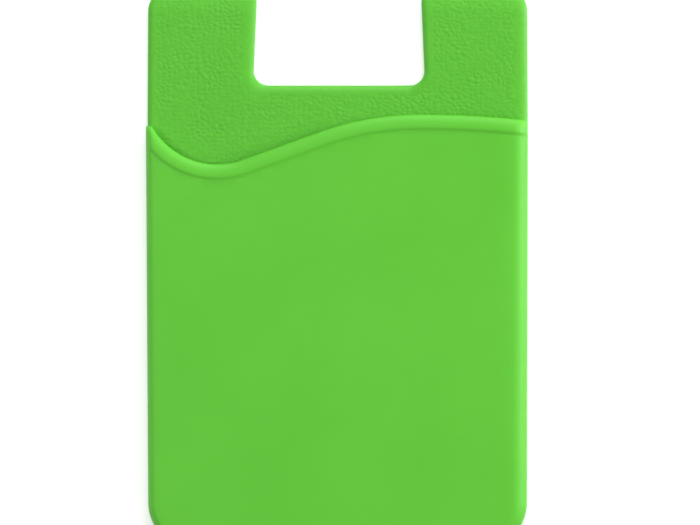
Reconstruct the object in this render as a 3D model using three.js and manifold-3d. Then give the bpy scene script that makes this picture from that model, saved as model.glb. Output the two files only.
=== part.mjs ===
// Stick-on silicone card holder for the back of a phone
// It lies on its back: +X across it, +Y towards the finger notch, +Z out of the front. Millimetres.

import * as THREE from 'three';
import { mergeVertices } from 'three/addons/utils/BufferGeometryUtils.js';
import Module from 'manifold-3d';

const wasm = await Module();
wasm.setup();

// The card that the pocket holds
const CARD_WIDTH = 54;
const CARD_PLAY = 0.6;
const CARD_GAP = 1;

// Walls and sheets
const SIDE_WALL = 1.2;
const BOTTOM_WALL = 1.4;
const PLATE_THICKNESS = 1.2;
const PANEL_THICKNESS = 0.9;
const ADHESIVE_THICKNESS = 0.25;
const LINER_THICKNESS = 0.15;

// Outline: the widest level is the mouth, and both ends are a little narrower
const POCKET_HEIGHT = 65.1;
const NOTCH_MARGIN = 4.4;
const TOP_TAPER = 0.1;
const BOTTOM_TAPER = 0.15;
const MOUTH_BULGE = 0.25;
const TOP_CORNER = 3.3;
const BOTTOM_CORNER = 7;

// Finger notch, a little narrower at its open end
const NOTCH_DEPTH = 14.5;
const NOTCH_WIDTH = 25.75;
const NOTCH_LEAN = 0.62;
const NOTCH_OFFSET = 0.2;
const NOTCH_FLOOR_CORNER = 2.2;
const TAB_CORNER = 2;

// Rounded front rims: how far they reach inwards and how far they fall
const PLATE_RIM_WIDTH = 1.9;
const PLATE_RIM_FALL = 0.8;
const POCKET_RIM_WIDTH = 2.2;
const POCKET_RIM_FALL = 2;

// Wavy mouth: a trough near the left wall, a straight flank, a crest, and a long shoulder to the right wall
const TROUGH_INSET = 10.45;
const TROUGH_RADIUS = 11.25;
const CREST_INSET = 16.1;
const CREST_RADIUS = 45;
const SHOULDER_RADIUS = 145;
const FLANK_SLOPE = THREE.MathUtils.degToRad(19.9);
const LEFT_CAP_WIDTH = 0.9;

// Raised bead along the mouth
const BEAD_HEIGHT = 0.15;
const BEAD_CROWN_DEPTH = 1.85;
const BEAD_FALL_WIDTH = 0.5;
const LIP_ROUNDING = 0.9;
const BEAD_SETBACK = 0.05;

// Adhesive sheet and the paper on it
const ADHESIVE_SIDE_MARGIN = 4;
const ADHESIVE_BOTTOM_MARGIN = 4;
const ADHESIVE_NOTCH_MARGIN = 3.5;
const ADHESIVE_CORNER = 4;
const LIFT_TAB_RADIUS = 5;
const LIFT_TAB_REACH = 3;
const LIFT_TAB_HEIGHT = 12;

// Fineness of the curves
const ARC_STEPS = 6;
const RIM_STEPS = 5;
const MOUTH_STEPS = 76;
const BEAD_ROWS = 10;
const BEAD_CROWN_SHARE = 0.7;
const WELD_DISTANCE = 1e-5;

// Places worked out from the sizes
const HALF_MOUTH = CARD_WIDTH / 2 + CARD_PLAY / 2 + SIDE_WALL;
const HALF_TOP = HALF_MOUTH - TOP_TAPER;
const HALF_BOTTOM = HALF_MOUTH - BOTTOM_TAPER;
const HEIGHT = POCKET_HEIGHT + NOTCH_MARGIN + NOTCH_DEPTH;
const BOTTOM_Y = -HEIGHT / 2;
const TOP_Y = HEIGHT / 2;
const NOTCH_FLOOR_Y = TOP_Y - NOTCH_DEPTH;
const CREST = new THREE.Vector2(HALF_MOUTH - CREST_INSET, BOTTOM_Y + POCKET_HEIGHT);
const SLOT_FLOOR_Z = PLATE_THICKNESS;
const SLOT_ROOF_Z = SLOT_FLOOR_Z + CARD_GAP;
const PANEL_Z = SLOT_ROOF_Z + PANEL_THICKNESS;

// The straight flank takes the width that the two arcs leave between trough and crest
const TROUGH_X = TROUGH_INSET - HALF_MOUTH;
const ARC_RADII = TROUGH_RADIUS + CREST_RADIUS;
const FLANK_WIDTH = CREST.x - TROUGH_X - ARC_RADII * Math.sin(FLANK_SLOPE);
const MOUTH_DROP = ARC_RADII * (1 - Math.cos(FLANK_SLOPE)) + FLANK_WIDTH * Math.tan(FLANK_SLOPE);
const TROUGH = new THREE.Vector2(TROUGH_X, CREST.y - MOUTH_DROP);

// The left end stops where the wall's flat top beside the mouth has its full width
const CAP_REACH = TROUGH_INSET + MOUTH_BULGE - LEFT_CAP_WIDTH;
const CAP_DROP = Math.sqrt(Math.max(TROUGH_RADIUS ** 2 - CAP_REACH ** 2, 0));
const LEFT_END_Y = TROUGH.y + TROUGH_RADIUS - CAP_DROP;

// Cutting shapes reach this far past what they cut
const OVERCUT = 5;

const silicone = new THREE.MeshStandardMaterial({ color: '#66c43e', roughness: 0.55, metalness: 0 });
const film = new THREE.MeshStandardMaterial({ color: '#e9ebe6', roughness: 0.3, metalness: 0 });
const paper = new THREE.MeshStandardMaterial({ color: '#f3f1ea', roughness: 0.8, metalness: 0 });

// A closed outline through [x, y, radius] corners, anticlockwise, each rounded by its own arc
function roundedShape(corners) {
  const shape = new THREE.Shape();
  corners.forEach(([x, y, radius], index) => {
    const corner = new THREE.Vector2(x, y);
    const [beforeX, beforeY] = corners.at(index - 1);
    const [afterX, afterY] = corners[(index + 1) % corners.length];
    const back = new THREE.Vector2(beforeX - x, beforeY - y).normalize();
    const ahead = new THREE.Vector2(afterX - x, afterY - y).normalize();
    const line = index === 0 ? 'moveTo' : 'lineTo';
    if (radius === 0) {
      shape[line](x, y);
      return;
    }
    const halfAngle = Math.acos(back.dot(ahead)) / 2;
    const start = corner.clone().addScaledVector(back, radius / Math.tan(halfAngle));
    const bisector = back.clone().add(ahead).normalize();
    const centre = corner.clone().addScaledVector(bisector, radius / Math.sin(halfAngle));
    const clockwise = back.cross(ahead) > 0;
    const turn = Math.PI - 2 * halfAngle;
    const startAngle = Math.atan2(start.y - centre.y, start.x - centre.x);
    const endAngle = startAngle + (clockwise ? -turn : turn);
    shape[line](start.x, start.y);
    shape.absarc(centre.x, centre.y, radius, startAngle, endAngle, clockwise);
  });
  return shape;
}

function toSolid(geometry) {
  const bare = geometry.clone();
  bare.deleteAttribute('normal');
  bare.deleteAttribute('uv');
  const merged = mergeVertices(bare, WELD_DISTANCE);
  const vertProperties = new Float32Array(merged.attributes.position.array);
  const triVerts = new Uint32Array(merged.index.array);
  return new wasm.Manifold(new wasm.Mesh({ numProp: 3, vertProperties, triVerts }));
}

function toGeometry(solid) {
  const mesh = solid.getMesh();
  const geometry = new THREE.BufferGeometry();
  geometry.setAttribute('position', new THREE.BufferAttribute(mesh.vertProperties, 3));
  geometry.setIndex(new THREE.BufferAttribute(mesh.triVerts, 1));
  geometry.computeVertexNormals();
  return geometry;
}

// A straight prism of a shape between two levels
function prism(shape, low, high) {
  const geometry = new THREE.ExtrudeGeometry(shape, {
    depth: high - low,
    curveSegments: ARC_STEPS,
    bevelEnabled: false,
  });
  geometry.translate(0, 0, low);
  return toSolid(geometry);
}

function block(lowX, lowY, lowZ, highX, highY, highZ) {
  const geometry = new THREE.BoxGeometry(highX - lowX, highY - lowY, highZ - lowZ);
  geometry.translate((lowX + highX) / 2, (lowY + highY) / 2, (lowZ + highZ) / 2);
  return toSolid(geometry);
}

// A sheet from z = 0 whose front rim is a quarter ellipse and whose back edge stays square
function rimmedSheet(shape, top, rimWidth, rimFall) {
  const geometry = new THREE.ExtrudeGeometry(shape, {
    depth: top,
    curveSegments: ARC_STEPS,
    bevelThickness: rimFall,
    bevelSize: rimWidth,
    bevelOffset: -rimWidth,
    bevelSegments: RIM_STEPS,
  });
  geometry.translate(0, 0, -rimFall);
  const reach = HEIGHT + OVERCUT;
  const behind = block(-reach, -reach, -rimFall - OVERCUT, reach, reach, 0);
  return toSolid(geometry).subtract(behind);
}

// The mouth line, or the line a given depth below it, from above the left end to past the right wall
function mouthPath(depth) {
  const path = new THREE.Path();
  const troughRadius = TROUGH_RADIUS + depth;
  const lowest = 1.5 * Math.PI;
  const highest = 0.5 * Math.PI;
  const shoulderSweep = Math.asin((CREST_INSET + OVERCUT) / SHOULDER_RADIUS);
  path.moveTo(TROUGH.x - troughRadius, TROUGH.y + TROUGH_RADIUS + OVERCUT);
  path.lineTo(TROUGH.x - troughRadius, TROUGH.y + TROUGH_RADIUS);
  path.absarc(TROUGH.x, TROUGH.y + TROUGH_RADIUS, troughRadius, Math.PI, lowest + FLANK_SLOPE, false);
  path.absarc(CREST.x, CREST.y - CREST_RADIUS, CREST_RADIUS - depth, highest + FLANK_SLOPE, highest, true);
  path.absarc(
    CREST.x, CREST.y - SHOULDER_RADIUS, SHOULDER_RADIUS - depth, highest, highest - shoulderSweep, true,
  );
  return path;
}

// Everything on the pocket's side of the line a given depth below the mouth
function belowMouth(depth) {
  const line = mouthPath(depth).getPoints(2 * ARC_STEPS);
  const shape = new THREE.Shape(line);
  const side = HALF_MOUTH + SIDE_WALL + OVERCUT;
  shape.lineTo(side, line.at(-1).y);
  shape.lineTo(side, BOTTOM_Y - OVERCUT);
  shape.lineTo(-side, BOTTOM_Y - OVERCUT);
  shape.lineTo(-side, line[0].y);
  return prism(shape, -OVERCUT, PANEL_Z + OVERCUT);
}

function plateShape() {
  const floorLeft = NOTCH_OFFSET - NOTCH_WIDTH / 2;
  const floorRight = NOTCH_OFFSET + NOTCH_WIDTH / 2;
  return roundedShape([
    [-HALF_BOTTOM, BOTTOM_Y, BOTTOM_CORNER],
    [HALF_BOTTOM, BOTTOM_Y, BOTTOM_CORNER],
    [HALF_MOUTH, CREST.y, 0],
    [HALF_TOP, TOP_Y, TOP_CORNER],
    [floorRight - NOTCH_LEAN, TOP_Y, TAB_CORNER],
    [floorRight, NOTCH_FLOOR_Y, NOTCH_FLOOR_CORNER],
    [floorLeft, NOTCH_FLOOR_Y, NOTCH_FLOOR_CORNER],
    [floorLeft + NOTCH_LEAN, TOP_Y, TAB_CORNER],
    [-HALF_TOP, TOP_Y, TOP_CORNER],
    [-HALF_MOUTH, CREST.y, 0],
  ]);
}

// The pocket's outline, run on past the mouth, which cuts it later
function pocketShape(setback = 0) {
  const topY = CREST.y + POCKET_RIM_WIDTH + OVERCUT;
  const left = HALF_MOUTH + MOUTH_BULGE;
  return roundedShape([
    [setback - HALF_BOTTOM, BOTTOM_Y, BOTTOM_CORNER],
    [HALF_BOTTOM - setback, BOTTOM_Y, BOTTOM_CORNER],
    [HALF_MOUTH - setback, CREST.y, 0],
    [HALF_MOUTH - setback, topY, 0],
    [setback - left, topY, 0],
    [setback - left, CREST.y, 0],
  ]);
}

// The pocket's half width at a level, with or without the bulge of its left wall
function pocketHalfWidth(y, bulge) {
  return THREE.MathUtils.mapLinear(y, BOTTOM_Y, CREST.y, HALF_BOTTOM, HALF_MOUTH + bulge);
}

// How far the pocket's front has fallen at a distance inside its side wall
function rimFall(inset) {
  const outward = THREE.MathUtils.clamp(1 - inset / POCKET_RIM_WIDTH, 0, 1);
  return POCKET_RIM_FALL * (1 - Math.sqrt(1 - outward ** 2));
}

// How far the left end has fallen at a distance below its flat top
function leftEndFall(inset) {
  const outward = THREE.MathUtils.clamp(1 - inset / LIP_ROUNDING, 0, 1);
  return LIP_ROUNDING * (1 - Math.sqrt(1 - outward ** 2));
}

// The bead's section, from the lip (0) over the crown to the foot on the panel (1)
function beadSection(share) {
  if (share < BEAD_CROWN_SHARE) {
    const angle = 0.5 * Math.PI * share / BEAD_CROWN_SHARE;
    return {
      depth: BEAD_CROWN_DEPTH * (1 - Math.cos(angle)),
      rise: BEAD_HEIGHT - LIP_ROUNDING * (1 - Math.sin(angle)),
    };
  }
  const down = (share - BEAD_CROWN_SHARE) / (1 - BEAD_CROWN_SHARE);
  return {
    depth: BEAD_CROWN_DEPTH + BEAD_FALL_WIDTH * down,
    rise: BEAD_HEIGHT * (1 + Math.cos(Math.PI * down)) / 2,
  };
}

// The bead follows the mouth line and lies on the pocket's front, also where that falls away to the sides
function beadSolid() {
  const mouth = mouthPath(0);
  const geometry = new THREE.BoxGeometry(1, 1, 1, MOUTH_STEPS, BEAD_ROWS, 1);
  const position = geometry.attributes.position;
  const rootZ = PLATE_THICKNESS / 2;
  for (let index = 0; index < position.count; index += 1) {
    const along = position.getX(index) + 0.5;
    const { depth, rise } = beadSection(0.5 - position.getY(index));
    const point = mouth.getPoint(along);
    const tangent = mouth.getTangent(along);
    const x = point.x + tangent.y * depth;
    const y = point.y - tangent.x * depth;
    const inset = Math.min(pocketHalfWidth(y, MOUTH_BULGE) + x, pocketHalfWidth(y, 0) - x);
    let top = PANEL_Z + rise - rimFall(inset);
    if (x < TROUGH.x) {
      top -= leftEndFall(LEFT_END_Y - y);
    }
    position.setXYZ(index, x, y, position.getZ(index) > 0 ? top : rootZ);
  }
  return toSolid(geometry).intersect(prism(pocketShape(BEAD_SETBACK), 0, PANEL_Z + OVERCUT));
}

function slotSolid() {
  const half = HALF_MOUTH - SIDE_WALL;
  const corner = BOTTOM_CORNER - SIDE_WALL;
  const shape = roundedShape([
    [-half, BOTTOM_Y + BOTTOM_WALL, corner],
    [half, BOTTOM_Y + BOTTOM_WALL, corner],
    [half, TOP_Y, 0],
    [-half, TOP_Y, 0],
  ]);
  return prism(shape, SLOT_FLOOR_Z, SLOT_ROOF_Z);
}

// Back plate, pocket front and bead, moulded as one piece of silicone
function cardPocket() {
  const front = rimmedSheet(pocketShape(), PANEL_Z, POCKET_RIM_WIDTH, POCKET_RIM_FALL);
  const aboveLeftEnd = block(
    -HALF_MOUTH - OVERCUT, LEFT_END_Y, -OVERCUT, TROUGH.x, TOP_Y, PANEL_Z + OVERCUT,
  );
  const pocket = front
    .intersect(belowMouth(BEAD_CROWN_DEPTH))
    .add(beadSolid())
    .subtract(aboveLeftEnd)
    .subtract(slotSolid());
  const plate = rimmedSheet(plateShape(), PLATE_THICKNESS, PLATE_RIM_WIDTH, PLATE_RIM_FALL);
  const hiddenByPocket = block(
    -HALF_MOUTH - OVERCUT, BOTTOM_Y - OVERCUT, -OVERCUT,
    HALF_MOUTH + OVERCUT, TROUGH.y - OVERCUT, PLATE_THICKNESS + OVERCUT,
  );
  return toGeometry(plate.subtract(hiddenByPocket).add(pocket));
}

const sheetRight = HALF_BOTTOM - ADHESIVE_SIDE_MARGIN;
const sheetBottom = BOTTOM_Y + ADHESIVE_BOTTOM_MARGIN;
const sheetTop = NOTCH_FLOOR_Y - ADHESIVE_NOTCH_MARGIN;

function sheetShape() {
  return roundedShape([
    [-sheetRight, sheetBottom, ADHESIVE_CORNER],
    [sheetRight, sheetBottom, ADHESIVE_CORNER],
    [sheetRight, sheetTop, ADHESIVE_CORNER],
    [-sheetRight, sheetTop, ADHESIVE_CORNER],
  ]);
}

function adhesiveSheet() {
  return toGeometry(prism(sheetShape(), 0, ADHESIVE_THICKNESS));
}

// The paper is cut to the adhesive's outline, with a half-round tab to peel it by
function releaseLiner() {
  const tab = new THREE.Shape();
  const tabX = sheetRight + LIFT_TAB_REACH - LIFT_TAB_RADIUS;
  tab.absarc(tabX, sheetBottom + LIFT_TAB_HEIGHT, LIFT_TAB_RADIUS, 0, 2 * Math.PI, false);
  const sheet = prism(sheetShape(), 0, LINER_THICKNESS);
  return toGeometry(sheet.add(prism(tab, 0, LINER_THICKNESS)));
}

function piece(name, geometry, material, z) {
  const mesh = new THREE.Mesh(geometry, material);
  mesh.name = name;
  mesh.position.z = z;
  return mesh;
}

const holder = new THREE.Group();
holder.add(piece('release_liner', releaseLiner(), paper, 0));
holder.add(piece('adhesive_sheet', adhesiveSheet(), film, LINER_THICKNESS));
holder.add(piece('card_pocket', cardPocket(), silicone, LINER_THICKNESS + ADHESIVE_THICKNESS));

export default holder;
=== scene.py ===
# Stick-on silicone card holder, lying on its back on a pale floor
import math

import bpy
import numpy as np
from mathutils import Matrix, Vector
from mathutils.geometry import delaunay_2d_cdt


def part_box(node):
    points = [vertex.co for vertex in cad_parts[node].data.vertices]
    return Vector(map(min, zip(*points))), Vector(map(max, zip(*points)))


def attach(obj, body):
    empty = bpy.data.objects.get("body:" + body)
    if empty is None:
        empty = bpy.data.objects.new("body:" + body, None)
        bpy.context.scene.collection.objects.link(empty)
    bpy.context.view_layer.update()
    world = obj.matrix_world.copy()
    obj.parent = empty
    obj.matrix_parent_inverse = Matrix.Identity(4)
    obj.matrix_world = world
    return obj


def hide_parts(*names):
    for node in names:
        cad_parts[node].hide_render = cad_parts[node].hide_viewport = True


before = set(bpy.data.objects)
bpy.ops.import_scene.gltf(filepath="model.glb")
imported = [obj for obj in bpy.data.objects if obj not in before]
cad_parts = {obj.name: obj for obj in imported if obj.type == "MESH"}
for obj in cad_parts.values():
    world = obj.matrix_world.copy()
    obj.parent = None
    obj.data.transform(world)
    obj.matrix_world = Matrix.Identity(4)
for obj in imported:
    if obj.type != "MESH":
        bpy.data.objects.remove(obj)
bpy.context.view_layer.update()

MM = 0.001
pocket_low, pocket_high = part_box("card_pocket")

# Sizes of the pocket in millimetres, the same as in the solids
SIDE_WALL = 1.2
BOTTOM_WALL = 1.4
PLATE_THICKNESS = 1.2
CARD_GAP = 1.0
PANEL_THICKNESS = 0.9
POCKET_HEIGHT = 65.1
HALF_MOUTH = pocket_high[0] / MM
TOP_TAPER = 0.1
BOTTOM_TAPER = 0.15
MOUTH_BULGE = 0.25
TOP_CORNER = 3.3
BOTTOM_CORNER = 7.0
NOTCH_DEPTH = 14.5
NOTCH_WIDTH = 25.75
NOTCH_LEAN = 0.62
NOTCH_OFFSET = 0.2
NOTCH_FLOOR_CORNER = 2.2
TAB_CORNER = 2.0
PLATE_RIM_WIDTH = 1.9
PLATE_RIM_FALL = 0.8
POCKET_RIM_WIDTH = 2.2
POCKET_RIM_FALL = 2.0
TROUGH_INSET = 10.45
TROUGH_RADIUS = 11.25
CREST_INSET = 16.1
CREST_RADIUS = 45.0
SHOULDER_RADIUS = 145.0
FLANK_SLOPE = math.radians(19.9)
LEFT_CAP_WIDTH = 0.9
BEAD_HEIGHT = 0.15
BEAD_CROWN_DEPTH = 1.85
LIP_ROUNDING = 0.9

# Places worked out from the sizes and from the frame
BOTTOM_Y = pocket_low[1] / MM
TOP_Y = pocket_high[1] / MM
BACK_Z = pocket_low[2] / MM
PLATE_Z = BACK_Z + PLATE_THICKNESS
SLOT_ROOF_Z = PLATE_Z + CARD_GAP
PANEL_Z = SLOT_ROOF_Z + PANEL_THICKNESS
HALF_TOP = HALF_MOUTH - TOP_TAPER
HALF_BOTTOM = HALF_MOUTH - BOTTOM_TAPER
NOTCH_FLOOR_Y = TOP_Y - NOTCH_DEPTH
CREST_X = HALF_MOUTH - CREST_INSET
CREST_Y = BOTTOM_Y + POCKET_HEIGHT
TROUGH_X = TROUGH_INSET - HALF_MOUTH
ARC_RADII = TROUGH_RADIUS + CREST_RADIUS
FLANK_WIDTH = CREST_X - TROUGH_X - ARC_RADII * math.sin(FLANK_SLOPE)
MOUTH_DROP = ARC_RADII * (1 - math.cos(FLANK_SLOPE)) + FLANK_WIDTH * math.tan(FLANK_SLOPE)
TROUGH_Y = CREST_Y - MOUTH_DROP
CAP_REACH = TROUGH_INSET + MOUTH_BULGE - LEFT_CAP_WIDTH
LEFT_END_Y = TROUGH_Y + TROUGH_RADIUS - math.sqrt(TROUGH_RADIUS ** 2 - CAP_REACH ** 2)

# Fineness of the meshes
GRAIN_SPACING = 0.17
PANEL_SPACING = 1.5
EDGE_SPACING = 0.35
ARC_STEP = math.radians(5)
RIM_RINGS = 10
BACK_RINGS = 3
BEAD_SPACING = 0.35
BEAD_ROWS = 16
BEAD_CROWN_SHARE = 0.7

# How far tools reach past what they cut, and how far joined parts stay inside each other
OVERCUT = 5.0
WALL_SETBACK = 0.02
TONGUE_SETBACK = 0.4

# Small forms that only the visual model has
BACK_EDGE = 0.12
BEAD_FALL_WIDTH = 0.7
BEAD_FOOT_SINK = 0.02
TAB_DROP = 0.6
TAB_SLOPE_START = 3.9
WAVE_HEIGHT = 0.02
WAVE_SIZE = 17
RIPPLE_SIZE = 8
PLATE_RIM = {
    "left_width": 0.85, "right_width": PLATE_RIM_WIDTH, "fall": PLATE_RIM_FALL,
    "sag": 0.2, "reach": 3.2, "inner_rings": 0,
}
POCKET_RIM = {
    "left_width": 1.15, "right_width": POCKET_RIM_WIDTH, "fall": POCKET_RIM_FALL,
    "sag": 0.32, "reach": 4.0, "inner_rings": 3,
}

# Leather grain of the plate: its relief, its pebbles and creases, and the painted shade that darkens the
# grained front's colour for the grain's small shadows
GRAIN_RELIEF = 0.115
GRAIN_FADE = (0.5, 2.0)
PEBBLE_SIZE = 0.85
PEBBLE_SQUASH = 1.3
PEBBLE_SHARE = 0.65
CREASE_WIDTH = 0.45
CREASE_WARP = 0.35
CREASE_WARP_SIZE = 1.4
PATCH_SIZE = 2.6
PATCH_MEAN = 0.62
FINE_SIZE = 0.42
# Painted shade: the grained front's colour is scaled down for the small shadows of its grain, and SPECKLE
# varies that painted shade at random
PAINTED_GRAIN_SHADE = 0.916
SPECKLE = 0.03

# Lattice of the noise: it repeats after this many steps
LATTICE = 64

# The photograph's frame: 105 mm wide in the object's plane, seen from straight above
PHOTO_WIDTH = 700
PHOTO_HEIGHT = 525
PIXELS_PER_MM = 380 / 57
MIDDLE_X_PIXEL = 337.65
MIDDLE_Y_PIXEL = 268.9
CAMERA_DISTANCE = 1.0
SENSOR_WIDTH = 36.0

# Floor in metres, and the glow that makes it white for the camera
FLOOR_HALF_WIDTH = 3.0
FLOOR_GAP = 0.0001
FLOOR_ALBEDO = 0.8
FLOOR_GLOW = 0.45
WORLD_STRENGTH = 0.27


# Smooth value noise on a seeded lattice, from -1 to 1
def value_noise(x, y, size, seed):
    table = np.random.default_rng(seed).uniform(-1, 1, (LATTICE, LATTICE))
    u = np.asarray(x) / size
    v = np.asarray(y) / size
    column = np.floor(u).astype(int)
    row = np.floor(v).astype(int)
    s = u - column
    t = v - row
    s = s * s * (3 - 2 * s)
    t = t * t * (3 - 2 * t)
    corner = [[table[(row + j) % LATTICE, (column + i) % LATTICE] for i in (0, 1)] for j in (0, 1)]
    low = corner[0][0] * (1 - s) + corner[0][1] * s
    high = corner[1][0] * (1 - s) + corner[1][1] * s
    return low * (1 - t) + high * t


# Distances to the nearest and second nearest of the jittered cell centres
def cell_distances(x, y, size, seed):
    jitter = np.random.default_rng(seed).uniform(0.12, 0.88, (LATTICE, LATTICE, 2))
    u = x / size
    v = y / size
    column = np.floor(u).astype(int)
    row = np.floor(v).astype(int)
    first = np.full(u.shape, 9.0)
    second = np.full(u.shape, 9.0)
    for i in (-1, 0, 1):
        for j in (-1, 0, 1):
            offset = jitter[(row + j) % LATTICE, (column + i) % LATTICE]
            distance = np.hypot(column + i + offset[..., 0] - u, row + j + offset[..., 1] - v)
            second = np.minimum(second, np.maximum(first, distance))
            first = np.minimum(first, distance)
    return first, second


# Leather grain: flat pebbles of uneven size with shallow creases between them, from -1 to 0
def grain(x, y):
    x = np.asarray(x, float)
    y = np.asarray(y, float)
    warped_x = x + CREASE_WARP * value_noise(x, y, CREASE_WARP_SIZE, 1)
    warped_y = y + CREASE_WARP * value_noise(x, y, CREASE_WARP_SIZE, 2)
    first, second = cell_distances(warped_x, warped_y * PEBBLE_SQUASH, PEBBLE_SIZE, 3)
    pebble = smoothstep(second - first, 0, CREASE_WIDTH)
    patch = PATCH_MEAN + (1 - PATCH_MEAN) * value_noise(x, y, PATCH_SIZE, 4)
    fine = value_noise(warped_x, warped_y * PEBBLE_SQUASH, FINE_SIZE, 5)
    return (pebble - 1) * patch * PEBBLE_SHARE + (fine - 1) / 2 * (1 - PEBBLE_SHARE)


# The panel's slight waviness
def wave(x, y):
    return WAVE_HEIGHT * (value_noise(x, y, WAVE_SIZE, 6) + value_noise(x, y, RIPPLE_SIZE, 7) / 2)


def smoothstep(value, low, high):
    share = np.clip((value - low) / (high - low), 0, 1)
    return share * share * (3 - 2 * share)


# Points along a closed outline of [x, y, radius] corners, anticlockwise, with the way each moves
# outward when the whole outline grows by one
def rounded_outline(corners, spacing):
    places = np.array([corner[:2] for corner in corners], float)
    ways = np.roll(places, -1, axis=0) - places
    ways /= np.linalg.norm(ways, axis=1)[:, None]
    sides = np.column_stack((ways[:, 1], -ways[:, 0]))
    mitres = [(sides[i - 1] + sides[i]) / (1 + sides[i - 1] @ sides[i]) for i in range(len(corners))]
    bearings = [(sides[i - 1] @ -ways[i], ways[i - 1] @ ways[i]) for i in range(len(corners))]
    turns = [math.atan2(across, along) for across, along in bearings]
    points = []
    normals = []
    bends = []
    for place, way, side, mitre, turn, corner in zip(places, ways, sides, mitres, turns, corners):
        radius = corner[2]
        if radius == 0:
            bends.append(([place], [mitre]))
            continue
        out = math.copysign(1, turn)
        centre = place - out * radius * mitre
        steps = max(4, round(abs(turn) / ARC_STEP))
        angles = math.atan2(out * side[1], out * side[0]) - turn * np.linspace(1, 0, steps + 1)
        rays = np.column_stack((np.cos(angles), np.sin(angles)))
        bends.append((list(centre + radius * rays), list(out * rays)))
    for index, (bend_points, bend_normals) in enumerate(bends):
        points += bend_points
        normals += bend_normals
        next_points, next_normals = bends[(index + 1) % len(bends)]
        steps = max(1, round(math.dist(points[-1], next_points[0]) / spacing))
        from_point = points[-1]
        from_normal = normals[-1]
        for step in range(1, steps):
            share = step / steps
            points.append(from_point + share * (next_points[0] - from_point))
            normals.append(from_normal + share * (next_normals[0] - from_normal))
    return np.array(points), np.array(normals)


# Triangles that fill a closed outline, with a grid of extra points inside it
def fill(outline, spacing):
    low = outline.min(axis=0)
    high = outline.max(axis=0)
    inside = []
    if spacing:
        nexts = np.roll(outline, -1, axis=0)
        rows = np.arange(low[1] + spacing / 2, high[1], spacing * math.sqrt(0.75))
        for number, y in enumerate(rows):
            xs = np.arange(low[0] + spacing * (0.25 + 0.5 * (number % 2)), high[0], spacing)
            crossing = (outline[:, 1] > y) != (nexts[:, 1] > y)
            share = (y - outline[crossing, 1]) / (nexts[crossing, 1] - outline[crossing, 1])
            cuts = np.sort(outline[crossing, 0] + share * (nexts[crossing, 0] - outline[crossing, 0]))
            within = (np.searchsorted(cuts, xs) % 2) == 1
            near = [abs(xs - cut) < 0.6 * spacing for cut in cuts]
            keep = within & ~np.any(near, axis=0) if len(cuts) else within
            inside += [(x, y) for x in xs[keep]]
        inside = np.array(inside)
        clearances = np.array([np.min(np.hypot(*(outline - point).T)) for point in inside])
        inside = inside[clearances > 0.5 * spacing]
        points = np.vstack((outline, inside))
    else:
        points = outline
    count = len(outline)
    edges = [(index, (index + 1) % count) for index in range(count)]
    made = delaunay_2d_cdt([Vector(point) for point in points], edges, [], 1, 1e-6)
    source = [origins[0] for origins in made[3]]
    triangles = [[source[index] for index in face] for face in made[2]]
    return points, triangles


def make_object(name, vertices, faces):
    mesh = bpy.data.meshes.new(name)
    mesh.from_pydata([tuple(float(value) * MM for value in vertex) for vertex in vertices], [], faces)
    mesh.validate()
    item = bpy.data.objects.new(name, mesh)
    bpy.context.scene.collection.objects.link(item)
    return item


# How far the front has fallen at a distance inside the outline. Where the outline faces right
# the rim is wider, and the front inside it falls away gently as well
def side_fall(inset, facing, rim):
    width = rim["left_width"] + (rim["right_width"] - rim["left_width"]) * facing
    sag = rim["sag"] * facing
    sagging = sag * np.clip(1 - inset / rim["reach"], 0, 1) ** 2
    return quarter_fall(inset, width, rim["fall"] - sag) + sagging


# How much a stretch of outline faces right, from 0 to 1
def right_facing(normals):
    return smoothstep(normals[:, 0], -0.7, 0.7)


# A closed solid in rings round its outline, with a flat back, a rounded rim and a shaped front
def ringed_solid(name, corners, rim, spacing, level):
    outline, normals = rounded_outline(corners, EDGE_SPACING)
    facing = right_facing(normals)
    width = rim["left_width"] + (rim["right_width"] - rim["left_width"]) * facing
    count = len(outline)
    rings = []
    for step in range(BACK_RINGS):
        angle = math.pi / 2 * step / BACK_RINGS
        ring = outline - normals * BACK_EDGE * (1 - math.sin(angle))
        rings.append((ring, np.full(count, BACK_Z + BACK_EDGE * (1 - math.cos(angle)))))
    insets = [width * (1 - math.cos(math.pi / 2 * step / RIM_RINGS)) for step in range(RIM_RINGS + 1)]
    for share in np.linspace(0, 1, rim["inner_rings"] + 1)[1:]:
        insets.append(width + (rim["reach"] - width) * share)
    for inset in insets:
        ring = outline - normals * inset[:, None]
        rings.append((ring, level(ring[:, 0], ring[:, 1], inset, facing)))
    vertices = [(x, y, z) for ring, levels in rings for (x, y), z in zip(ring, levels)]
    faces = []
    for low in range(0, (len(rings) - 1) * count, count):
        for index in range(count):
            following = (index + 1) % count
            faces.append((low + index, low + following, low + count + following, low + count + index))
    _, back = fill(rings[0][0], None)
    faces += [tuple(reversed(face)) for face in back]
    points, top = fill(rings[-1][0], spacing)
    start = len(vertices)
    x, y = points[count:].T
    nearest, side = edge_distance(x, y, outline, facing)
    vertices += list(zip(x, y, level(x, y, nearest, side)))
    last = (len(rings) - 1) * count
    faces += [tuple(last + i if i < count else start + i - count for i in face) for face in top]
    return make_object(name, vertices, faces)


# Distance from points to an outline, and which way the nearest stretch of it faces
def edge_distance(x, y, outline, facing):
    nearest = np.full(len(x), 99.0)
    side = np.zeros(len(x))
    for point, value in zip(outline, facing):
        distance = np.hypot(x - point[0], y - point[1])
        side = np.where(distance < nearest, value, side)
        nearest = np.minimum(nearest, distance)
    return nearest, side


def prism(name, outline, low, high):
    _, face = fill(outline, None)
    count = len(outline)
    vertices = [(x, y, low) for x, y in outline] + [(x, y, high) for x, y in outline]
    faces = [tuple(reversed(corner)) for corner in face]
    faces += [tuple(index + count for index in corner) for corner in face]
    for index in range(count):
        following = (index + 1) % count
        faces.append((index, following, following + count, index + count))
    return make_object(name, vertices, faces)


def rectangle(low_x, low_y, high_x, high_y):
    return np.array([(low_x, low_y), (high_x, low_y), (high_x, high_y), (low_x, high_y)])


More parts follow.
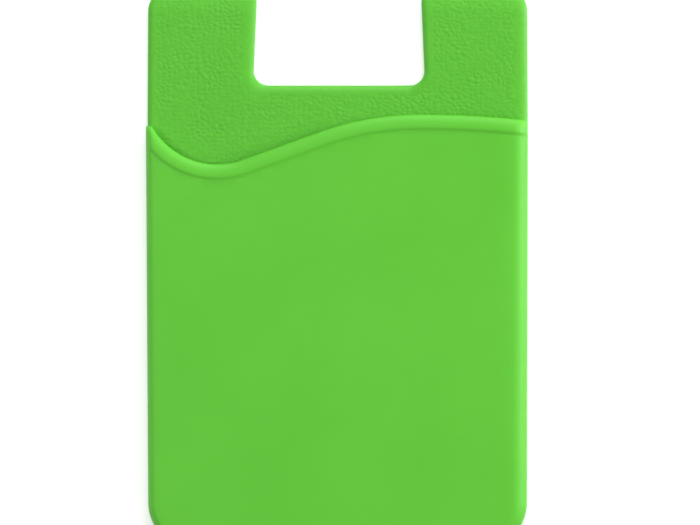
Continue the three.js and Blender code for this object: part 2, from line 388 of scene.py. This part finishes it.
# A boolean of two solids, kept in the first, with the second removed
def combine(item, tool, operation):
    modifier = item.modifiers.new(operation, "BOOLEAN")
    modifier.object = tool
    modifier.operation = operation
    modifier.solver = "MANIFOLD"
    bpy.context.view_layer.update()
    made = bpy.data.meshes.new_from_object(item.evaluated_get(bpy.context.evaluated_depsgraph_get()))
    item.modifiers.remove(modifier)
    item.data = made
    bpy.data.objects.remove(tool)
    return item


# Points along the mouth line with their directions, from above the left end to past the right wall
def mouth_line(spacing):
    points = []
    directions = []

    def add_arc(centre, radius, first, last):
        steps = max(1, math.ceil(abs(last - first) * radius / spacing))
        side = 1 if last > first else -1
        for angle in np.linspace(first, last, steps + 1):
            points.append((centre[0] + radius * math.cos(angle), centre[1] + radius * math.sin(angle)))
            directions.append((-side * math.sin(angle), side * math.cos(angle)))

    def add_line(start, end):
        length = math.dist(start, end)
        for share in np.linspace(0, 1, math.ceil(length / spacing) + 1)[1:-1]:
            points.append((start[0] + share * (end[0] - start[0]), start[1] + share * (end[1] - start[1])))
            directions.append(((end[0] - start[0]) / length, (end[1] - start[1]) / length))

    quarter = math.pi / 2
    trough_centre = (TROUGH_X, TROUGH_Y + TROUGH_RADIUS)
    crest_centre = (CREST_X, CREST_Y - CREST_RADIUS)
    points.append((TROUGH_X - TROUGH_RADIUS, trough_centre[1] + OVERCUT))
    directions.append((0, -1))
    add_arc(trough_centre, TROUGH_RADIUS, 2 * quarter, 3 * quarter + FLANK_SLOPE)
    crest_start = (
        crest_centre[0] - CREST_RADIUS * math.sin(FLANK_SLOPE),
        crest_centre[1] + CREST_RADIUS * math.cos(FLANK_SLOPE),
    )
    add_line(points[-1], crest_start)
    add_arc(crest_centre, CREST_RADIUS, quarter + FLANK_SLOPE, quarter)
    sweep = math.asin((CREST_INSET + OVERCUT) / SHOULDER_RADIUS)
    points.pop()
    directions.pop()
    add_arc((CREST_X, CREST_Y - SHOULDER_RADIUS), SHOULDER_RADIUS, quarter, quarter - sweep)
    return np.array(points), np.array(directions)


# Outline of all that lies a depth or more below the mouth line
def below_mouth_outline(depth):
    points, directions = mouth_line(BEAD_SPACING)
    line = points + depth * np.column_stack((directions[:, 1], -directions[:, 0]))
    side = HALF_MOUTH + SIDE_WALL + OVERCUT
    ring = [(-side, line[0, 1]), (-side, BOTTOM_Y - OVERCUT), (side, BOTTOM_Y - OVERCUT), (side, line[-1, 1])]
    return np.vstack((ring, line[::-1]))


# The pocket's outline, carried on past the mouth, which is cut afterwards
def pocket_corners(setback=0.0):
    top_y = CREST_Y + POCKET_RIM_WIDTH + OVERCUT
    left = HALF_MOUTH + MOUTH_BULGE
    return [
        (setback - HALF_BOTTOM, BOTTOM_Y, BOTTOM_CORNER),
        (HALF_BOTTOM - setback, BOTTOM_Y, BOTTOM_CORNER),
        (HALF_MOUTH - setback, CREST_Y, 0),
        (HALF_MOUTH - setback, top_y, 0),
        (setback - left, top_y, 0),
        (setback - left, CREST_Y, 0),
    ]


# The plate down to a tongue that ends inside the pocket's body
def plate_corners():
    floor_left = NOTCH_OFFSET - NOTCH_WIDTH / 2
    floor_right = NOTCH_OFFSET + NOTCH_WIDTH / 2
    tongue_y = TROUGH_Y - OVERCUT
    step_y = LEFT_END_Y - 2 * BEAD_CROWN_DEPTH
    return [
        (TONGUE_SETBACK - HALF_MOUTH, tongue_y, 0),
        (HALF_MOUTH - TONGUE_SETBACK, tongue_y, 0),
        (HALF_MOUTH - TONGUE_SETBACK, step_y - TONGUE_SETBACK, 0),
        (HALF_MOUTH, step_y, 0),
        (HALF_MOUTH, CREST_Y, 0),
        (HALF_TOP, TOP_Y, TOP_CORNER),
        (floor_right - NOTCH_LEAN, TOP_Y, TAB_CORNER),
        (floor_right, NOTCH_FLOOR_Y, NOTCH_FLOOR_CORNER),
        (floor_left, NOTCH_FLOOR_Y, NOTCH_FLOOR_CORNER),
        (floor_left + NOTCH_LEAN, TOP_Y, TAB_CORNER),
        (-HALF_TOP, TOP_Y, TOP_CORNER),
        (-HALF_MOUTH, CREST_Y, 0),
        (-HALF_MOUTH, step_y, 0),
        (TONGUE_SETBACK - HALF_MOUTH, step_y - TONGUE_SETBACK, 0),
    ]


def pocket_half_width(y, bulge):
    share = (y - BOTTOM_Y) / (CREST_Y - BOTTOM_Y)
    return HALF_BOTTOM + (HALF_MOUTH + bulge - HALF_BOTTOM) * share


def quarter_fall(inset, width, fall):
    outward = np.clip(1 - inset / width, 0, 1)
    return fall * (1 - np.sqrt(1 - outward ** 2))


# Depth below the mouth line and height over the panel, at a share of the way across the bead
def bead_section(share):
    if share < BEAD_CROWN_SHARE:
        angle = math.pi / 2 * share / BEAD_CROWN_SHARE
        return BEAD_CROWN_DEPTH * (1 - math.cos(angle)), BEAD_HEIGHT - LIP_ROUNDING * (1 - math.sin(angle))
    down = (share - BEAD_CROWN_SHARE) / (1 - BEAD_CROWN_SHARE)
    total = BEAD_HEIGHT + BEAD_FOOT_SINK
    rise = total * (1 + math.cos(math.pi * down)) / 2 - BEAD_FOOT_SINK
    return BEAD_CROWN_DEPTH + BEAD_FALL_WIDTH * down, rise


# The bead as a closed solid: its curved top, a flat root inside the plate, and walls between them
def bead_solid():
    points, directions = mouth_line(BEAD_SPACING)
    down = np.column_stack((directions[:, 1], -directions[:, 0]))
    steps = len(points)
    top = []
    for row in range(BEAD_ROWS + 1):
        depth, rise = bead_section(row / BEAD_ROWS)
        x, y = (points + depth * down).T
        inset = np.minimum(pocket_half_width(y, MOUTH_BULGE) + x, pocket_half_width(y, 0) - x)
        z = panel_level(x, y, inset, (x > 0).astype(float)) + rise
        z -= np.where(x < TROUGH_X, quarter_fall(LEFT_END_Y - y, LIP_ROUNDING, LIP_ROUNDING), 0)
        top += list(zip(x, y, z))
    root = BACK_Z + PLATE_THICKNESS / 2
    size = len(top)
    vertices = top + [(x, y, root) for x, y, _ in top]
    faces = []
    for row in range(BEAD_ROWS):
        for step in range(steps - 1):
            a = row * steps + step
            b = a + steps
            faces.append((a, b, b + 1, a + 1))
            faces.append((a + size, a + 1 + size, b + 1 + size, b + size))
    border = list(range(steps))
    border += [row * steps + steps - 1 for row in range(1, BEAD_ROWS + 1)]
    border += [BEAD_ROWS * steps + step for step in range(steps - 2, -1, -1)]
    border += [row * steps for row in range(BEAD_ROWS - 1, 0, -1)]
    for here, following in zip(border, border[1:] + border[:1]):
        faces.append((here, following, following + size, here + size))
    return make_object("bead", vertices, faces)


# The tabs' front falls away gently towards their top edges
def tab_fall(y):
    return TAB_DROP * np.clip((y - TOP_Y + TAB_SLOPE_START) / TAB_SLOPE_START, 0, 1) ** 2


def plate_level(x, y, inset, facing):
    fall = side_fall(inset, facing, PLATE_RIM)
    fall += tab_fall(y) * (1 - fall / PLATE_THICKNESS)
    return PLATE_Z - fall + GRAIN_RELIEF * smoothstep(inset, *GRAIN_FADE) * grain(x, y)


def panel_level(x, y, inset, facing):
    waviness = wave(x, y) * smoothstep(inset, 0, POCKET_RIM_WIDTH)
    return PANEL_Z + waviness - side_fall(inset, facing, POCKET_RIM)


def pocket_mesh():
    body = ringed_solid("pocket_body", pocket_corners(), POCKET_RIM, PANEL_SPACING, panel_level)
    below_mouth = below_mouth_outline(BEAD_CROWN_DEPTH)
    combine(body, prism("mouth_tool", below_mouth, -OVERCUT, 2 * OVERCUT), "INTERSECT")
    bead = bead_solid()
    wall, _ = rounded_outline(pocket_corners(WALL_SETBACK), EDGE_SPACING)
    combine(bead, prism("wall_tool", wall, 0, 2 * OVERCUT), "INTERSECT")
    combine(body, bead, "UNION")
    left_end = rectangle(-HALF_MOUTH - OVERCUT, LEFT_END_Y, TROUGH_X, TOP_Y)
    combine(body, prism("left_end_tool", left_end, -OVERCUT, 2 * OVERCUT), "DIFFERENCE")
    half = HALF_MOUTH - SIDE_WALL
    corner = BOTTOM_CORNER - SIDE_WALL
    slot, _ = rounded_outline(
        [(-half, BOTTOM_Y + BOTTOM_WALL, corner), (half, BOTTOM_Y + BOTTOM_WALL, corner),
         (half, TOP_Y, 0), (-half, TOP_Y, 0)],
        PANEL_SPACING,
    )
    combine(body, prism("slot_tool", slot, PLATE_Z, SLOT_ROOF_Z), "DIFFERENCE")
    plate = ringed_solid("card_pocket_silicone", plate_corners(), PLATE_RIM, GRAIN_SPACING, plate_level)
    return combine(plate, body, "UNION")


def new_material(name):
    material = bpy.data.materials.new(name)
    material.use_nodes = True
    tree = material.node_tree
    return material, tree, tree.nodes["Principled BSDF"]


def add_node(tree, kind, **values):
    node = tree.nodes.new(kind)
    for key, value in values.items():
        if key in node.inputs:
            node.inputs[key].default_value = value
        else:
            setattr(node, key, value)
    return node


def srgb(red, green, blue):
    def linear(value):
        value /= 255
        return value / 12.92 if value <= 0.04045 else ((value + 0.055) / 1.055) ** 2.4
    return linear(red), linear(green), linear(blue), 1.0


# Matte silicone with a faint mottle. The grained front of the plate gets a painted shade, speckled at random,
# for the small shadows of its grain
def silicone_material():
    material, tree, shader = new_material("lime_silicone")
    coordinates = add_node(tree, "ShaderNodeTexCoord")
    mottle = add_node(tree, "ShaderNodeTexNoise", Scale=60.0, Detail=3.0, Roughness=0.55)
    tree.links.new(coordinates.outputs["Object"], mottle.inputs["Vector"])
    ramp = add_node(tree, "ShaderNodeValToRGB")
    ramp.color_ramp.elements[0].position = 0.3
    ramp.color_ramp.elements[0].color = srgb(95, 197, 48)
    ramp.color_ramp.elements[1].position = 0.7
    ramp.color_ramp.elements[1].color = srgb(99, 201, 53)
    tree.links.new(mottle.outputs["Fac"], ramp.inputs["Fac"])
    height = add_node(tree, "ShaderNodeSeparateXYZ")
    tree.links.new(coordinates.outputs["Object"], height.inputs["Vector"])
    # Painted shade on the plate's grained front, which lies below the pocket; its strength is speckled at
    # random
    painted_shade_by_height = add_node(tree, "ShaderNodeMapRange")
    painted_shade_by_height.inputs["From Min"].default_value = (PLATE_Z + 0.15) * MM
    painted_shade_by_height.inputs["From Max"].default_value = (PLATE_Z + 0.5) * MM
    painted_shade_by_height.inputs["To Max"].default_value = 1.0
    tree.links.new(height.outputs["Z"], painted_shade_by_height.inputs["Value"])
    speckle = add_node(tree, "ShaderNodeTexNoise", Scale=1300.0, Detail=2.0, Roughness=0.5)
    tree.links.new(coordinates.outputs["Object"], speckle.inputs["Vector"])
    speckled_painted_shade = add_node(tree, "ShaderNodeMapRange")
    speckled_painted_shade.inputs["From Min"].default_value = 0.3
    speckled_painted_shade.inputs["From Max"].default_value = 0.7
    speckled_painted_shade.inputs["To Min"].default_value = PAINTED_GRAIN_SHADE - SPECKLE
    speckled_painted_shade.inputs["To Max"].default_value = PAINTED_GRAIN_SHADE + SPECKLE
    tree.links.new(speckle.outputs["Fac"], speckled_painted_shade.inputs["Value"])
    tree.links.new(speckled_painted_shade.outputs["Result"], painted_shade_by_height.inputs["To Min"])
    # The painted shade goes only on faces that look up, so the side walls keep the plain colour
    geometry = add_node(tree, "ShaderNodeNewGeometry")
    slope = add_node(tree, "ShaderNodeSeparateXYZ")
    tree.links.new(geometry.outputs["Normal"], slope.inputs["Vector"])
    painted_shade_front_only = add_node(tree, "ShaderNodeMapRange")
    painted_shade_front_only.inputs["From Min"].default_value = 0.3
    painted_shade_front_only.inputs["From Max"].default_value = 0.7
    painted_shade_front_only.inputs["To Min"].default_value = 1.0
    tree.links.new(slope.outputs["Z"], painted_shade_front_only.inputs["Value"])
    tree.links.new(painted_shade_by_height.outputs["Result"], painted_shade_front_only.inputs["To Max"])
    shaded = add_node(tree, "ShaderNodeVectorMath", operation="SCALE")
    tree.links.new(ramp.outputs["Color"], shaded.inputs["Vector"])
    tree.links.new(painted_shade_front_only.outputs["Result"], shaded.inputs["Scale"])
    tree.links.new(shaded.outputs["Vector"], shader.inputs["Base Color"])
    dust = add_node(tree, "ShaderNodeTexNoise", Scale=900.0, Detail=4.0, Roughness=0.6)
    tree.links.new(coordinates.outputs["Object"], dust.inputs["Vector"])
    finish = add_node(tree, "ShaderNodeMapRange")
    finish.inputs["To Min"].default_value = 0.46
    finish.inputs["To Max"].default_value = 0.6
    tree.links.new(dust.outputs["Fac"], finish.inputs["Value"])
    tree.links.new(finish.outputs["Result"], shader.inputs["Roughness"])
    skin = add_node(tree, "ShaderNodeTexNoise", Scale=2600.0, Detail=3.0, Roughness=0.5)
    tree.links.new(coordinates.outputs["Object"], skin.inputs["Vector"])
    bump = add_node(tree, "ShaderNodeBump", Strength=0.25, Distance=0.00002)
    tree.links.new(skin.outputs["Fac"], bump.inputs["Height"])
    tree.links.new(bump.outputs["Normal"], shader.inputs["Normal"])
    shader.inputs["Subsurface Weight"].default_value = 0.12
    shader.inputs["Subsurface Radius"].default_value = (0.4, 1.0, 0.25)
    shader.inputs["Subsurface Scale"].default_value = 0.0012
    shader.inputs["IOR"].default_value = 1.43
    return material


def film_material():
    material, tree, shader = new_material("adhesive_film")
    coordinates = add_node(tree, "ShaderNodeTexCoord")
    streaks = add_node(tree, "ShaderNodeTexNoise", Scale=120.0, Detail=4.0, Roughness=0.6)
    tree.links.new(coordinates.outputs["Object"], streaks.inputs["Vector"])
    ramp = add_node(tree, "ShaderNodeValToRGB")
    ramp.color_ramp.elements[0].color = srgb(222, 226, 218)
    ramp.color_ramp.elements[1].color = srgb(236, 238, 232)
    tree.links.new(streaks.outputs["Fac"], ramp.inputs["Fac"])
    tree.links.new(ramp.outputs["Color"], shader.inputs["Base Color"])
    bump = add_node(tree, "ShaderNodeBump", Strength=0.3, Distance=0.00003)
    tree.links.new(streaks.outputs["Fac"], bump.inputs["Height"])
    tree.links.new(bump.outputs["Normal"], shader.inputs["Normal"])
    shader.inputs["Roughness"].default_value = 0.3
    return material


def paper_material():
    material, tree, shader = new_material("liner_paper")
    coordinates = add_node(tree, "ShaderNodeTexCoord")
    fibres = add_node(tree, "ShaderNodeTexNoise", Scale=700.0, Detail=6.0, Roughness=0.7)
    tree.links.new(coordinates.outputs["Object"], fibres.inputs["Vector"])
    ramp = add_node(tree, "ShaderNodeValToRGB")
    ramp.color_ramp.elements[0].position = 0.35
    ramp.color_ramp.elements[0].color = srgb(232, 229, 219)
    ramp.color_ramp.elements[1].position = 0.65
    ramp.color_ramp.elements[1].color = srgb(243, 241, 233)
    tree.links.new(fibres.outputs["Fac"], ramp.inputs["Fac"])
    tree.links.new(ramp.outputs["Color"], shader.inputs["Base Color"])
    bump = add_node(tree, "ShaderNodeBump", Strength=0.35, Distance=0.00003)
    tree.links.new(fibres.outputs["Fac"], bump.inputs["Height"])
    tree.links.new(bump.outputs["Normal"], shader.inputs["Normal"])
    shader.inputs["Roughness"].default_value = 0.62
    return material


def carried_node(name, material):
    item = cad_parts[name]
    item.data.materials.clear()
    item.data.materials.append(material)
    item.data.set_sharp_from_angle(angle=math.radians(35))


def build_object():
    pocket = pocket_mesh()
    pocket.data.shade_smooth()
    pocket.data.set_sharp_from_angle(angle=math.radians(40))
    pocket.data.materials.clear()
    pocket.data.materials.append(silicone_material())
    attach(pocket, "root")
    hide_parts("card_pocket")
    carried_node("adhesive_sheet", film_material())
    carried_node("release_liner", paper_material())


# White floor: lit enough to keep the object's shadow, with the rest of its white only for the camera
def build_floor():
    size = FLOOR_HALF_WIDTH
    corners = [(-size, -size, 0), (size, -size, 0), (size, size, 0), (-size, size, 0)]
    mesh = bpy.data.meshes.new("floor")
    mesh.from_pydata(corners, [], [(0, 1, 2, 3)])
    floor = bpy.data.objects.new("floor", mesh)
    bpy.context.scene.collection.objects.link(floor)
    floor.location.z = -FLOOR_GAP
    material, tree, shader = new_material("pale_floor")
    shader.inputs["Base Color"].default_value = (FLOOR_ALBEDO, FLOOR_ALBEDO, FLOOR_ALBEDO, 1)
    shader.inputs["Roughness"].default_value = 0.9
    path = add_node(tree, "ShaderNodeLightPath")
    seen = add_node(tree, "ShaderNodeMath", operation="MAXIMUM")
    tree.links.new(path.outputs["Is Camera Ray"], seen.inputs[0])
    tree.links.new(path.outputs["Is Glossy Ray"], seen.inputs[1])
    glow = add_node(tree, "ShaderNodeMath", operation="MULTIPLY")
    glow.inputs[1].default_value = FLOOR_GLOW
    tree.links.new(seen.outputs["Value"], glow.inputs[0])
    shader.inputs["Emission Color"].default_value = (1, 1, 1, 1)
    tree.links.new(glow.outputs["Value"], shader.inputs["Emission Strength"])
    mesh.materials.append(material)


# A round softbox that looks at the object
def add_area_light(name, place, size, power):
    data = bpy.data.lights.new(name, "AREA")
    data.shape = "DISK"
    data.size = size
    data.energy = power
    light = bpy.data.objects.new(name, data)
    light.location = place
    light.rotation_euler = (-Vector(place)).to_track_quat("-Z", "Y").to_euler()
    bpy.context.scene.collection.objects.link(light)


def build_lights():
    world = bpy.data.worlds.new("studio")
    world.use_nodes = True
    background = world.node_tree.nodes["Background"]
    background.inputs["Color"].default_value = (1, 1, 1, 1)
    background.inputs["Strength"].default_value = WORLD_STRENGTH
    bpy.context.scene.world = world
    add_area_light("right_softbox", (0.558, 0.12, 0.183), 0.28, 3.0)
    add_area_light("left_softbox", (-0.42, 0.0, 0.56), 0.35, 1.45)
    add_area_light("back_softbox", (0.2, 1.285, 0.75), 0.65, 12.2)


def build_camera():
    data = bpy.data.cameras.new("camera")
    data.sensor_width = SENSOR_WIDTH
    view_width = PHOTO_WIDTH / PIXELS_PER_MM * MM
    data.lens = SENSOR_WIDTH * CAMERA_DISTANCE / view_width
    camera = bpy.data.objects.new("camera", data)
    x = (PHOTO_WIDTH / 2 - MIDDLE_X_PIXEL) / PIXELS_PER_MM
    y = (MIDDLE_Y_PIXEL - PHOTO_HEIGHT / 2) / PIXELS_PER_MM
    camera.location = (x * MM, y * MM, CAMERA_DISTANCE + BACK_Z * MM)
    bpy.context.scene.collection.objects.link(camera)
    bpy.context.scene.camera = camera


build_camera()
build_object()
build_floor()
build_lights()
bpy.context.scene.view_settings.view_transform = "Standard"
